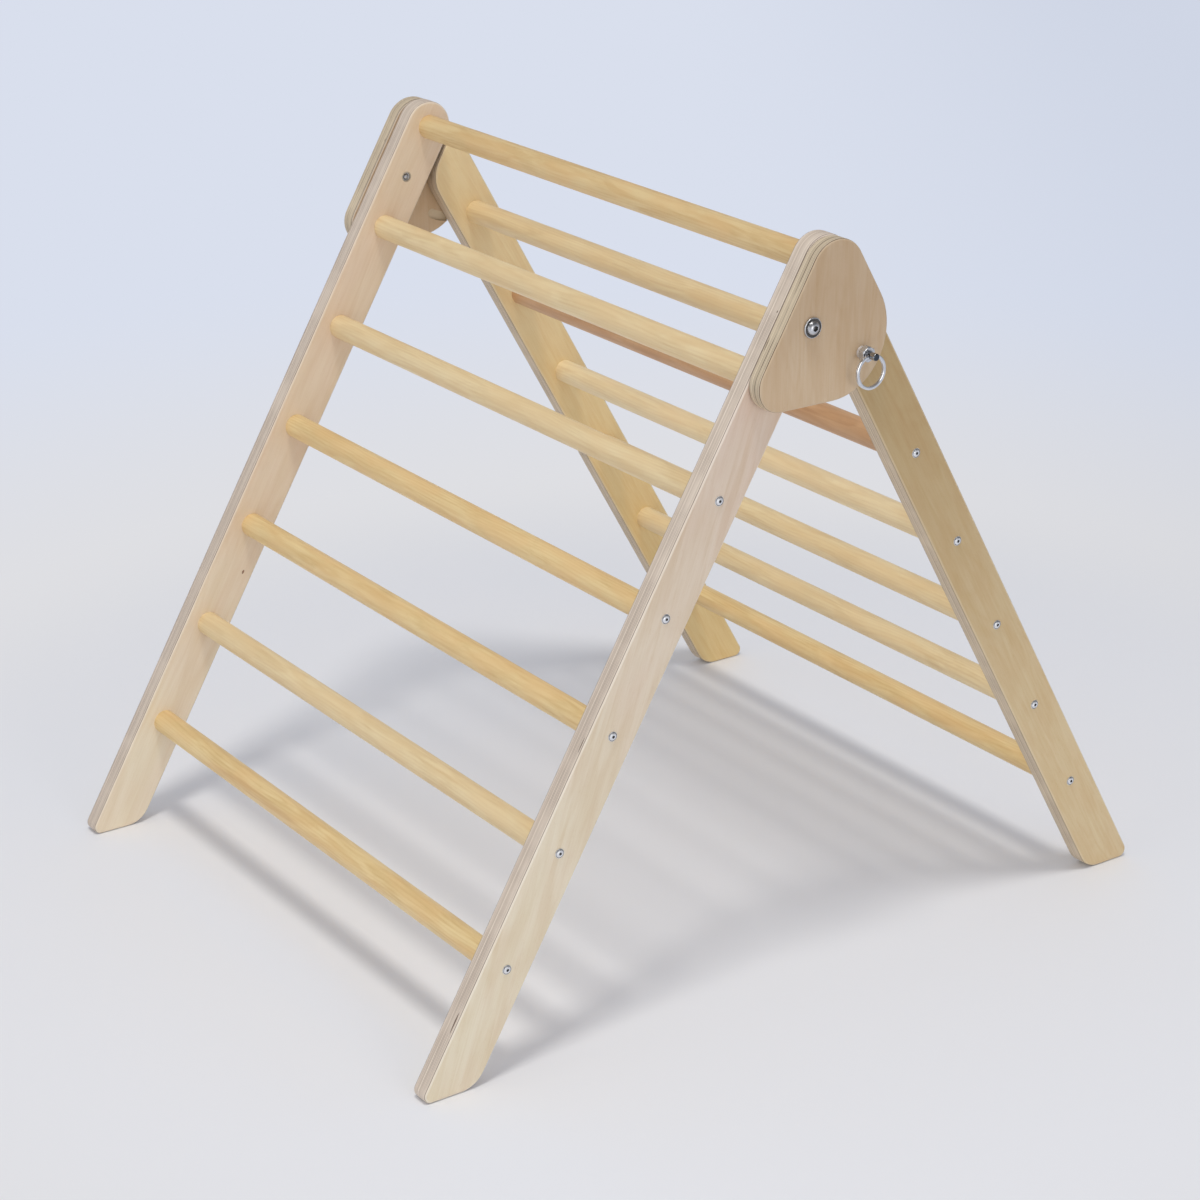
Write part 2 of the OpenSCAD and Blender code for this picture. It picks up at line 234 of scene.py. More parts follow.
class Signal:
    """What a node puts out. Sums with it and its methods add nodes after that one."""

    def __init__(self, sheet: Sheet, socket: bpy.types.NodeSocket) -> None:
        """Keeps the sheet and the node's output."""
        self.sheet = sheet
        self.socket = socket

    def __add__(self, other: Value) -> "Signal":
        """Adds a value."""
        return self.sheet.math("ADD", self, other)

    def __sub__(self, other: Value) -> "Signal":
        """Takes a value away."""
        return self.sheet.math("SUBTRACT", self, other)

    def __rsub__(self, other: Value) -> "Signal":
        """Takes the signal away from a number."""
        return self.sheet.math("SUBTRACT", other, self)

    def __mul__(self, other: Value) -> "Signal":
        """Multiplies by a value."""
        return self.sheet.math("MULTIPLY", self, other)

    __rmul__ = __mul__

    def __truediv__(self, other: Value) -> "Signal":
        """Divides by a value."""
        return self.sheet.math("DIVIDE", self, other)

    def __pow__(self, other: Value) -> "Signal":
        """Raises to a power."""
        return self.sheet.math("POWER", self, other)

    def scaled(self, factor: Value, base: Value, clamp: bool = False) -> "Signal":
        """Multiplies by a factor and adds a base, in one node."""
        return self.sheet.math("MULTIPLY_ADD", self, factor, base, clamp=clamp)

    def wave(self) -> "Signal":
        """The signal's sine, moved to run from 0 to 1."""
        return self.sheet.math("SINE", self).scaled(0.5, 0.5)

    def vector(self, operation: str, *values: Value, out: str = "Vector") -> "Signal":
        """One output of a Vector Math node, whose first input is the signal."""
        return self.sheet.node("ShaderNodeVectorMath", self, *values, out=out, operation=operation)

    def enlarged(self, factor: Value) -> "Signal":
        """The vector, made longer by a factor."""
        made = self.sheet.add("ShaderNodeVectorMath", operation="SCALE")
        return self.sheet.out(self.sheet.fill(made, Vector=self, Scale=factor))

    def parts(self) -> list["Signal"]:
        """The vector's three numbers."""
        made = self.sheet.fill(self.sheet.add("ShaderNodeSeparateXYZ"), Vector=self)
        return [Signal(self.sheet, socket) for socket in made.outputs]

    def smooth(self, low: float, high: float) -> "Signal":
        """Turns the signal into a mask that rises smoothly from 0 to 1.

        Args:
            low: Where the mask is 0.
            high: Where the mask is 1.

        Returns:
            The mask.
        """
        made = self.sheet.add("ShaderNodeMapRange", interpolation_type="SMOOTHSTEP")
        self.sheet.fill(made, Value=self, From_Min=low, From_Max=high)
        return self.sheet.out(made, "Result")

    def chance(self) -> "Signal":
        """A fixed random number from 0 to 1 for each value of the signal."""
        made = self.sheet.add("ShaderNodeTexWhiteNoise", noise_dimensions="1D")
        return self.sheet.out(self.sheet.fill(made, W=self), "Value")

    def noise(
        self, scale: float = 1.0, detail: float = 2.0, roughness: float = 0.5,
        distortion: float = 0.0,
    ) -> "Signal":
        """Reads a Noise Texture where the signal says.

        Args:
            scale: Its scale.
            detail: Its detail.
            roughness: How strong the finer steps are.
            distortion: How much it is bent.

        Returns:
            The noise, around 0.5.
        """
        made = self.sheet.fill(
            self.sheet.add("ShaderNodeTexNoise"), Vector=self, Scale=scale, Detail=detail,
            Roughness=roughness, Distortion=distortion,
        )
        return self.sheet.out(made, "Fac")


class EffectSheet(Sheet):
    """The sheet of a shared effect: a shader node group with named sockets."""

    def __init__(
        self, name: str, vectors: Sequence[str], numbers: Sequence[str], outputs: Sequence[str]
    ) -> None:
        """Makes the group and its sockets.

        Args:
            name: The group's name.
            vectors: The names of its inputs that are vectors.
            numbers: The names of its inputs that are numbers.
            outputs: The names of its outputs, all numbers.
        """
        super().__init__(bpy.data.node_groups.new(name, "ShaderNodeTree"))
        sockets = [(label, "INPUT", "NodeSocketVector") for label in vectors]
        sockets += [(label, "INPUT", "NodeSocketFloat") for label in numbers]
        sockets += [(label, "OUTPUT", "NodeSocketFloat") for label in outputs]
        for label, way, kind in sockets:
            self.tree.interface.new_socket(name=label, in_out=way, socket_type=kind)
        self.source = self.add("NodeGroupInput")
        self.sink = self.add("NodeGroupOutput")

    def __getitem__(self, label: str) -> Signal:
        """The group's input of that name, as its inner nodes see it."""
        return self.out(self.source, label)

    def __setitem__(self, label: str, value: Value) -> None:
        """Sends a value to the group's output of that name."""
        self.feed(self.sink.inputs[label], value)


class SkinSheet(Sheet):
    """The sheet of a new material, with its shader and each point's place."""

    def __init__(self, name: str, colour: Colour) -> None:
        """Starts the material.

        Args:
            name: Its name.
            colour: The colour it has in a plain viewport.
        """
        self.material = bpy.data.materials.new(name)
        self.material.use_nodes = True
        self.material.diffuse_color = colour
        super().__init__(self.material.node_tree)
        self.shader = self.tree.nodes["Principled BSDF"]
        self.position = self.node("ShaderNodeTexCoord", out="Object")

    def finish(
        self, relief: Signal, strength: float, height: float, **values: Value
    ) -> bpy.types.Material:
        """Fills the shader's sockets and bends its normal.

        Args:
            relief: The surface's fine relief.
            strength: How strongly the relief shows.
            height: How high a relief of 1 is, in metres.
            **values: The shader's inputs by name, with _ for a space.

        Returns:
            The material.
        """
        bump = self.add("ShaderNodeBump")
        self.fill(bump, Strength=strength, Distance=height, Height=relief)
        self.fill(self.shader, Normal=self.out(bump, "Normal"), **values)
        return self.material


# ---------- shared effects


@dataclass(frozen=True)
class Texture:
    """A noise cut to a mask: its cells per metre on each axis, its cut and its kind."""

    cells: Point
    low: float
    high: float
    detail: float = 2.0
    roughness: float = 0.5
    distortion: float = 0.0

    def mask(self, place: Signal) -> Signal:
        """The mask at a place, from 0 to 1."""
        kind = (1.0, self.detail, self.roughness, self.distortion)
        return place.vector("MULTIPLY", self.cells).noise(*kind).smooth(self.low, self.high)


FIGURE = Texture((7.0, 60.0, 60.0), 0.36, 0.66, detail=3.0, roughness=0.55, distortion=0.9)
CLOUD = Texture((10.0, 30.0, 30.0), 0.36, 0.66)
STREAK = Texture((16.0, 620.0, 620.0), 0.3, 0.7, detail=3.0, roughness=0.6)
PORE = Texture((240.0, 3200.0, 3200.0), 0.64, 0.76, detail=1.0)
SCRATCH = Texture((900.0, 120.0, 400.0), 0.6, 0.8, detail=1.0)


def draw_board_place() -> None:
    """Draws the group that places a point on a board.

    It says how far down the board a point lies, how far across it, and how deep it is
    from the board's inner face.
    """
    sheet = EffectSheet(
        "board place",
        ("Position", "Apex", "Down", "Back"),
        ("Inner Face",),
        ("Along", "Across", "Depth"),
    )
    from_apex = sheet["Position"].vector("SUBTRACT", sheet["Apex"])
    sheet["Along"] = from_apex.vector("DOT_PRODUCT", sheet["Down"], out="Value")
    sheet["Across"] = from_apex.vector("DOT_PRODUCT", sheet["Back"], out="Value")
    side_x = sheet.math("ABSOLUTE", sheet["Position"].parts()[0])
    sheet["Depth"] = side_x - sheet["Inner Face"]


def draw_wood_grain() -> None:
    """Draws the group for the grain of a pale wood.

    Slant turns the grain a little off the board's length, and Spread above 1 makes its
    broad figure smaller. It puts out a broad figure, soft clouds, cut growth lines, fine
    streaks and small pores, each from 0 to 1.
    """
    sheet = EffectSheet(
        "wood grain",
        (),
        ("Along", "Across", "Depth", "Seed", "Slant", "Spread"),
        ("Figure", "Cloud", "Contour", "Streak", "Pore"),
    )
    seed_turn, contour_cells = 1.7, (3.0, 16.0, 16.0)
    contour_count, contour_power = 70.0, 1.6
    seed, slant = sheet["Seed"], sheet["Slant"]
    along = sheet["Across"].scaled(slant, sheet["Along"])
    across = sheet["Across"] - sheet["Along"] * slant
    shift = sheet.combine(seed, seed * seed_turn, 0.0)
    place = sheet.combine(along, across, sheet["Depth"]).vector("ADD", shift)
    broad = place.enlarged(sheet["Spread"])
    sheet["Figure"] = FIGURE.mask(broad)
    sheet["Cloud"] = CLOUD.mask(broad)
    bend = broad.vector("MULTIPLY", contour_cells).noise(distortion=0.5)
    sheet["Contour"] = (bend * contour_count).wave() ** contour_power
    sheet["Streak"] = STREAK.mask(place)
    sheet["Pore"] = PORE.mask(place)


def draw_ply_layers() -> None:
    """Draws the group for the layers that a plywood edge shows.

    Rim says how dark the glue lines under the two face veneers are, Rim Width how much
    wider than the others, and Strong Joint which joint inside is nearly as dark. It puts
    out whether a point is past the face veneer, its layer's tone, its glue lines, the
    fibres along a layer and the veneer's worked edge. The boards paint that rounded edge
    lighter, partly as the veneer's own edge and partly as a painted highlight.
    """
    sheet = EffectSheet(
        "ply layers",
        (),
        ("Along", "Across", "Depth", "Board", "Face Ply", "Plies", "Seed", "Rim", "Rim Width",
         "Strong Joint"),
        ("Inside", "Tone", "Glue", "Fibre", "Arris"),
    )
    along, across, board, plies = (
        sheet[label] for label in ("Along", "Across", "Board", "Plies")
    )
    face_ply, seed, rim_share = sheet["Face Ply"], sheet["Seed"], sheet["Rim"]

    # The layers waver a little along the board.
    drift_cells, waver = 26.0, 0.4 * MM
    drift = sheet.combine(along * drift_cells, across * drift_cells, seed).noise(detail=3.0)
    depth = sheet["Depth"] + (drift - 0.5) * waver
    share = (depth - face_ply) / (board - face_ply * 2.0)
    layer = share * plies
    index = sheet.math("FLOOR", layer)
    soft = 0.006
    inside = share.smooth(-soft, soft) * (1.0 - share.smooth(1.0 - soft, 1.0 + soft))
    sheet["Inside"] = inside

    # Every other layer is darker, each by its own amount, with patches along it.
    above_zero, layer_step, patch_cells, patch_range = 20.0, 7.3, 14.0, (0.3, 0.7)
    odd_share, own_share, patch_share = 0.35, 0.55, 0.35
    odd = sheet.math("MODULO", index + above_zero, 2.0)
    tone = (index + seed).chance().scaled(own_share, odd * odd_share)
    patch = sheet.combine(along * patch_cells, across * patch_cells, index * layer_step)
    patch = patch.noise().smooth(*patch_range)
    sheet["Tone"] = patch.scaled(patch_share, tone, clamp=True)

    # Glue lines: strong at the rims and at one joint, and of uneven strength elsewhere.
    seed_step, plain_share, plain_least, strong_share = 3.0, 0.65, 0.35, 0.85
    wide, narrow, least_width, rim_even = 0.3, 0.18, 1.5, 0.85
    joint_range, drift_range = (0.2, 0.8), (0.3, 0.55)
    joint = sheet.math("FLOOR", layer + 0.5)
    rim = 1.0 - sheet.math("MINIMUM", joint, plies - joint).smooth(*joint_range)
    plain = seed.scaled(seed_step, joint).chance() ** 2.0
    off_strong = sheet.math("ABSOLUTE", joint - sheet["Strong Joint"])
    strong = sheet.math("SUBTRACT", strong_share, off_strong.smooth(*joint_range), clamp=True)
    strong = sheet.math("MAXIMUM", rim, strong)
    strength = sheet.math(
        "MAXIMUM", plain.scaled(plain_share, plain_least), strong * rim_share
    )
    within = sheet.math("FRACT", layer)
    to_joint = sheet.math("MINIMUM", within, 1.0 - within)
    line = sheet.math("DIVIDE", to_joint, strong.scaled(wide, narrow), clamp=True)
    width = rim.scaled(sheet["Rim Width"], least_width)
    line = sheet.math("MULTIPLY", 1.0 - line, width, clamp=True)
    uneven = sheet.math("MAXIMUM", drift.smooth(*drift_range), rim * rim_even)
    sheet["Glue"] = line * strength * uneven

    fibre_cells, fibre_layers, fibre_range = 70.0, 2200.0, (0.3, 0.75)
    worked_range = (0.03 * MM, 0.3 * MM)
    fibre = sheet.combine(along * fibre_cells, across * fibre_cells, depth * fibre_layers)
    sheet["Fibre"] = fibre.noise(detail=3.0, roughness=0.6).smooth(*fibre_range)
    # Arris: the veneer's rounded edge, which the boards paint lighter, partly as a painted
    # highlight.
    to_face = sheet.math("MINIMUM", sheet["Depth"], board - sheet["Depth"])
    sheet["Arris"] = to_face.smooth(*worked_range) * (1.0 - inside)


def draw_dark_spot() -> None:
    """Draws the group for one dark mark with a ragged outline, such as a gap or a knot.

    It puts out a mask that is 1 inside the mark.
    """
    sheet = EffectSheet(
        "dark spot",
        (),
        ("Along", "Across", "At Along", "At Across", "Half Length", "Half Width"),
        ("Mark",),
    )
    raggedness, core, rim = 1.2, 0.35, 1.1
    length_share = (sheet["Along"] - sheet["At Along"]) / sheet["Half Length"]
    width_share = (sheet["Across"] - sheet["At Across"]) / sheet["Half Width"]
    reach = length_share ** 2.0 + width_share ** 2.0
    ragged = sheet.combine(length_share, width_share, sheet["At Along"])
    ragged = ragged.noise(scale=1.6, detail=3.0)
    sheet["Mark"] = 1.0 - (ragged - 0.5).scaled(raggedness, reach).smooth(core, rim)


def draw_handling() -> None:
    """Draws the group for the faint uneven sheen that handling leaves on a finish.

    It puts out soft smudges and fine scratches, each from 0 to 1.
    """
    sheet = EffectSheet("handling", ("Position",), ("Size",), ("Smudge", "Scratch"))
    place = sheet["Position"].enlarged(sheet["Size"])
    smudge = place.noise(scale=24.0, detail=4.0, roughness=0.6)
    sheet["Smudge"] = smudge.smooth(0.35, 0.7)
    sheet["Scratch"] = SCRATCH.mask(place)


def draw_effects() -> None:
    """Draws each shared effect once."""
    for draw in (
        draw_board_place, draw_wood_grain, draw_ply_layers, draw_dark_spot, draw_handling
    ):
        draw()


# ---------- kinds of finish


@dataclass(frozen=True)
class Mark:
    """A dark mark in wood: where its middle is and its size, in metres.

    Along runs down a board or along a rung. Across is the depth from a board's inner
    face for a gap in its edge, and the place across the face for a knot.
    """

    along: float
    across: float
    length: float
    width: float


def mark_mask(sheet: Sheet, marks: Sequence[Mark], along: Signal, across: Signal) -> Value:
    """Adds up the masks of some dark marks.

    Args:
        sheet: The tree being drawn.
        marks: The marks.
        along: How far along a point lies.
        across: How far across it lies.

    Returns:
        The mask, or 0 with no marks.
    """
    mask: Value = 0.0
    for mark in marks:
        spot = sheet.group(
            "dark spot", Along=along, Across=across, At_Along=mark.along,
            At_Across=mark.across, Half_Length=mark.length / 2, Half_Width=mark.width / 2,
        )
        mask = sheet.math("MAXIMUM", mask, spot["Mark"])
    return mask


@dataclass(frozen=True)
class BoardPlace:
    """Where a board lies: its top point, its two directions and its inner face."""

    apex: Point
    down: Point
    back: Point
    inner_face: float


@dataclass(frozen=True)
class BirchPly:
    """Clear-lacquered birch plywood, whose face blends from a top tone to a low tone.

    The blend is partly the veneer's own tone and partly painted light and shade, for
    how brightly each part of the board is lit.

    A share says how strongly one part of the look shows, and reach where along the board
    the tone changes.
    """

    name: str
    top: Colour
    low: Colour
    figure: Colour
    blush: Colour
    long_ply: Colour
    cross_ply: Colour
    glue: Colour
    arris: Colour
    board: float
    plies: int
    seed: float
    figure_share: float
    arris_share: float
    rim: float
    rim_width: float = 0.5
    strong_joint: int = 0
    face_ply: float = 1.1 * MM
    reach: tuple[float, float] = (0.05, 0.65)
    slant: float = 0.0
    spread: float = 1.0
    contour_share: float = 0.15
    blush_share: float = 0.4
    streak_share: float = 0.2
    pore_share: float = 0.5
    fibre_share: float = 0.12
    gaps: tuple[Mark, ...] = ()
    knots: tuple[Mark, ...] = ()
    gap_tone: Colour = srgb(112, 90, 72)
    knot_tone: Colour = srgb(146, 106, 80)
    roughness: float = 0.43
    smudge_share: float = 0.1
    edge_dulling: float = 0.12
    streak_relief: float = 0.25
    pore_relief: float = 0.5
    glue_relief: float = 0.8
    gap_relief: float = 6.0
    relief_strength: float = 0.35
    relief_height: float = 0.12 * MM
    ior: float = 1.45

    def material(self, place: BoardPlace) -> bpy.types.Material:
        """Draws the material for one board.

        Args:
            place: Where the board lies.

        Returns:
            The material.
        """
        sheet = SkinSheet(self.name, self.top)
        spot = sheet.group(
            "board place", Position=sheet.position, Apex=place.apex, Down=place.down,
            Back=place.back, Inner_Face=place.inner_face,
        )
        grain = sheet.group(
            "wood grain", **spot, Seed=self.seed, Slant=self.slant, Spread=self.spread
        )
        layers = sheet.group(
            "ply layers", **spot, Board=self.board, Face_Ply=self.face_ply,
            Plies=float(self.plies), Seed=self.seed, Rim=self.rim, Rim_Width=self.rim_width,
            Strong_Joint=float(self.strong_joint),
        )
        smudge = sheet.group("handling", Position=sheet.position, Size=1.0)["Smudge"]
        along, across, depth = (spot[name] for name in ("Along", "Across", "Depth"))
        inside = layers["Inside"]
        gap = mark_mask(sheet, self.gaps, along, depth) * inside
        knot = mark_mask(sheet, self.knots, along, across) * (1.0 - inside)
        face = self._face(sheet, grain, layers, along)
        colour = sheet.blend(inside, face, self._edge(sheet, layers))
        colour = sheet.blend(gap, colour, self.gap_tone)
        relief = grain["Streak"] * self.streak_relief - grain["Pore"] * self.pore_relief
        relief = relief - layers["Glue"] * self.glue_relief - gap * self.gap_relief
        rough = smudge.scaled(self.smudge_share, self.roughness)
        return sheet.finish(
            relief,
            self.relief_strength,
            self.relief_height,
            Base_Color=sheet.blend(knot, colour, self.knot_tone),
            Roughness=inside.scaled(self.edge_dulling, rough),
            IOR=self.ior,
        )

    def _face(
        self, sheet: Sheet, grain: dict[str, Signal], layers: dict[str, Signal], along: Signal
    ) -> Signal:
        """Mixes the face veneer's colour from its grain.

        Args:
            sheet: The tree being drawn.
            grain: What the grain puts out.
            layers: What the layers put out.
            along: How far down the board a point lies.

        Returns:
            The colour.
        """
        # Partly painted light and shade: the blend from top to low tone follows how brightly each
        # part of the board is lit.
        colour = sheet.blend(along.smooth(*self.reach), self.top, self.low)
        clouds = grain["Cloud"] * self.blush_share
        colour = sheet.blend(clouds, colour, self.blush, "MULTIPLY")
        share = grain["Figure"] * self.figure_share
        share = grain["Contour"].scaled(self.contour_share, share)
        share = grain["Streak"].scaled(self.streak_share, share)
        share = grain["Pore"].scaled(self.pore_share, share, clamp=True)
        colour = sheet.blend(share, colour, self.figure, "MULTIPLY")
        # The rounded arris: partly the veneer's own lighter edge, partly a painted highlight.
        return sheet.blend(layers["Arris"] * self.arris_share, colour, self.arris)

    def _edge(self, sheet: Sheet, layers: dict[str, Signal]) -> Signal:
        """Mixes the edge's colour from its layers.

        Args:
            sheet: The tree being drawn.
            layers: What the layers put out.

        Returns:
            The colour.
        """
        colour = sheet.blend(layers["Tone"], self.long_ply, self.cross_ply)
        colour = sheet.blend(layers["Fibre"] * self.fibre_share, colour, self.glue)
        return sheet.blend(layers["Glue"], colour, self.glue)


@dataclass(frozen=True)
class Tones:
    """A rung's three colours: its ground, its growth lines and its warmer patches."""

    light: Colour
    dark: Colour
    blush: Colour


@dataclass(frozen=True)
class DowelWood:
    """Clear-lacquered round stock, with its growth lines along it.

    The lines are rings round a pith that lies outside the stock.
    """

    name: str
    tones: Tones
    seed: float
    marks: tuple[Mark, ...] = ()
    mark_tone: Colour = srgb(196, 150, 96)
    figure_share: float = 0.45
    streak_share: float = 0.17
    ring_share: float = 0.22
    pore_share: float = 0.35
    cloud_share: float = 0.45
    mark_share: float = 0.35
    spread: float = 1.9
    roughness: float = 0.35
    smudge_share: float = 0.12
    streak_relief: float = 0.3
    ring_relief: float = 0.3
    pore_relief: float = 0.5
    relief_strength: float = 0.25
    relief_height: float = 0.1 * MM
    ior: float = 1.46
    ring_gap: float = 2.6 * MM
    ring_bend: float = 16.0 * MM
    bend_cells: float = 5.0
    pith: float = 30.0 * MM
    pith_turn: float = 2.4

    def material(self, centre: Vector) -> bpy.types.Material:
        """Draws the material for one rung.

        Args:
            centre: The middle of the rung.

        Returns:
            The material.
        """
        sheet = SkinSheet(self.name, self.tones.light)
        along, across, depth = sheet.position.vector("SUBTRACT", tuple(centre)).parts()
        grain = sheet.group(
            "wood grain", Along=along, Across=across, Depth=depth, Seed=self.seed, Slant=0.0,
            Spread=self.spread,
        )
        smudge = sheet.group("handling", Position=sheet.position, Size=1.0)["Smudge"]
        rings = self._growth_lines(sheet, along, across, depth)
        share = grain["Streak"].scaled(self.streak_share, grain["Figure"] * self.figure_share)
        share = rings.scaled(self.ring_share, share)
        share = grain["Pore"].scaled(self.pore_share, share, clamp=True)
        colour = sheet.blend(share, self.tones.light, self.tones.dark)
        colour = sheet.blend(grain["Cloud"] * self.cloud_share, colour, self.tones.blush)
        mark = mark_mask(sheet, self.marks, along, depth) * self.mark_share
        relief = rings.scaled(self.ring_relief, grain["Streak"] * self.streak_relief)
        return sheet.finish(
            relief - grain["Pore"] * self.pore_relief,
            self.relief_strength,
            self.relief_height,
            Base_Color=sheet.blend(mark, colour, self.mark_tone),
            Roughness=smudge.scaled(self.smudge_share, self.roughness),
            IOR=self.ior,
        )

    def _growth_lines(self, sheet: Sheet, along: Signal, across: Signal, depth: Signal) -> Signal:
        """Draws the growth rings.

        Args:
            sheet: The tree being drawn.
            along: How far along the rung a point lies.
            across: Its first offset from the rung's axis.
            depth: Its second offset.

        Returns:
            The lines, from 0 to 1.
        """
        drift = sheet.combine(along * self.bend_cells, self.seed, 0.0).noise()
        turn = self.seed * self.pith_turn
        off_across = across - self.pith * math.cos(turn)
        off_depth = depth - self.pith * math.sin(turn)
        reach = sheet.combine(off_across, off_depth, 0.0).vector("LENGTH", out="Value")
        return (drift.scaled(self.ring_bend, reach) * (FULL_TURN / self.ring_gap)).wave() ** 2.0


class RungWood(Enum):
    """The kinds of round stock that the rungs are cut from."""

    GOLDEN = Tones(srgb(234, 208, 156), srgb(208, 171, 113), srgb(228, 187, 129))
    HONEY = Tones(srgb(243, 217, 162), srgb(215, 180, 120), srgb(235, 195, 136))
    PALE = Tones(srgb(242, 221, 176), srgb(220, 190, 140), srgb(236, 206, 156))
    FAIR = Tones(srgb(249, 230, 187), srgb(227, 200, 153), srgb(243, 215, 168))
    BROWN = Tones(srgb(214, 174, 133), srgb(184, 139, 100), srgb(203, 157, 114))


@dataclass(frozen=True)
class Steel:
    """A metal finish. Its worn places are darker and duller.

    With end_from above 0, what lies farther than that from the middle has the end tone,
    a painted dark reflection.
    """

    name: str
    colour: Colour
    shade: Colour
    roughness: float
    metal: float = 1.0
    end_from: float = 0.0
    end_blend: float = 0.1 * MM
    end_tone: Colour = srgb(70, 76, 84)
    wear_size: float = 8.0
    wear_share: float = 0.5
    uneven: float = 0.06
    scratch: float = 0.3
    scratch_depth: float = 0.01 * MM

    def material(self) -> bpy.types.Material:
        """Draws the material.

        Returns:
            The material.
        """
        sheet = SkinSheet(self.name, self.colour)
        worn = sheet.group("handling", Position=sheet.position, Size=self.wear_size)
        colour = sheet.blend(worn["Smudge"] * self.wear_share, self.colour, self.shade)
        # Painted dark reflection: the far end takes the end tone.
        if self.end_from > 0:
            reach = sheet.math("ABSOLUTE", sheet.position.parts()[0])
            at_end = reach.smooth(self.end_from, self.end_from + self.end_blend)
            colour = sheet.blend(at_end, colour, self.end_tone)
        return sheet.finish(
            worn["Scratch"],
            self.scratch,
            self.scratch_depth,
            Base_Color=colour,
            Metallic=self.metal,
            Roughness=worn["Smudge"].scaled(self.uneven, self.roughness),
        )


# ---------- the finishes


# Each board's tones are partly the wood's own and partly painted light and shade: they match how
# brightly each board, and each part of it, is lit.
FRONT_RIGHT_RAIL = BirchPly(
    name="front_rail_right_birch",
    top=srgb(222, 202, 185),
    low=srgb(239, 228, 203),
    figure=srgb(238, 228, 212),
    blush=srgb(251, 242, 243),
    long_ply=srgb(245, 231, 214),
    cross_ply=srgb(213, 196, 177),
    glue=srgb(112, 92, 82),
    arris=srgb(246, 238, 226),
    board=18 * MM,
    plies=11,
    seed=1.3,
    figure_share=0.45,
    arris_share=0.5,
    rim=0.95,
    slant=0.2,
    reach=(0.0, 0.64),
    gaps=(
        Mark(0.6655, 13.8 * MM, 20 * MM, 1.7 * MM),
        Mark(0.4230, 15.0 * MM, 15 * MM, 1.0 * MM),
        Mark(0.0510, 14.6 * MM, 2.4 * MM, 1.2 * MM),
    ),
)
FRONT_RAILS = {
    Side.RIGHT: FRONT_RIGHT_RAIL,
    Side.LEFT: replace(
        FRONT_RIGHT_RAIL,
        name="front_rail_left_birch",
        top=srgb(237, 217, 190),
        low=srgb(246, 234, 209),
        arris=srgb(238, 226, 210),
        seed=2.9,
        figure_share=0.3,
        arris_share=0.4,
        slant=0.04,
        reach=(0.3, 0.68),
        gaps=(),
        knots=(Mark(0.453, 12.3 * MM, 4.6 * MM, 2.6 * MM),),
    ),
}
REAR_RIGHT_RAIL = BirchPly(
    name="rear_rail_right_birch",
    top=srgb(187, 162, 118),
    low=srgb(224, 203, 163),
    figure=srgb(238, 224, 200),
    blush=srgb(248, 238, 228),
    long_ply=srgb(240, 224, 200),
    cross_ply=srgb(208, 189, 162),
    glue=srgb(102, 82, 66),
    arris=srgb(234, 219, 192),
    board=18 * MM,
    plies=11,
    seed=4.1,
    figure_share=0.25,
    arris_share=0.35,
    rim=0.8,
    spread=1.9,
    contour_share=0.12,
)
REAR_RAILS = {
    Side.RIGHT: REAR_RIGHT_RAIL,
    Side.LEFT: replace(
        REAR_RIGHT_RAIL,
        name="rear_rail_left_birch",
        top=srgb(242, 220, 173),
        low=srgb(237, 210, 152),
        seed=5.7,
        contour_share=0.08,
    ),
}
RIGHT_GUSSET = BirchPly(
    name="gusset_right_birch",
    top=srgb(198, 174, 144),
    low=srgb(211, 188, 158),
    figure=srgb(238, 224, 204),
    blush=srgb(248, 240, 230),
    long_ply=srgb(238, 221, 192),
    cross_ply=srgb(208, 190, 161),
    glue=srgb(84, 62, 46),
    arris=srgb(206, 186, 158),
    board=15 * MM,
    plies=9,
    seed=6.2,
    figure_share=0.3,
    arris_share=0.5,
    rim=1.0,
    rim_width=4.0,
    strong_joint=5,
    face_ply=0.9 * MM,
    reach=(0.02, 0.10),
    spread=1.6,
    blush_share=0.3,
    gaps=(Mark(0.055, 3.0 * MM, 12 * MM, 0.8 * MM),),
)
GUSSETS = {
    Side.RIGHT: RIGHT_GUSSET,
    Side.LEFT: replace(
        RIGHT_GUSSET,
        name="gusset_left_birch",
        arris=srgb(204, 190, 172),
        seed=7.8,
        arris_share=0.9,
        rim=0.5,
        rim_width=1.0,
        gaps=(Mark(0.012, 2.5 * MM, 2.4 * MM, 1.0 * MM),),
    ),
}
GUSSET_DOWEL = DowelWood(
    "dowel_wood", Tones(srgb(226, 200, 154), srgb(206, 176, 128), srgb(220, 186, 136)), 9.5
)
FRONT_WOODS = (
    RungWood.GOLDEN, RungWood.PALE, RungWood.PALE, RungWood.HONEY, RungWood.HONEY,
    RungWood.PALE, RungWood.HONEY,
)
REAR_WOODS = (
    RungWood.PALE, RungWood.BROWN, RungWood.FAIR, RungWood.PALE, RungWood.PALE,
    RungWood.HONEY,
)
FRONT_STREAKS = {7: (Mark(-0.085, 3.0 * MM, 170 * MM, 8.0 * MM),)}

SCREW_ZINC = Steel("screw_zinc", srgb(236, 238, 241), srgb(212, 214, 219), 0.42)
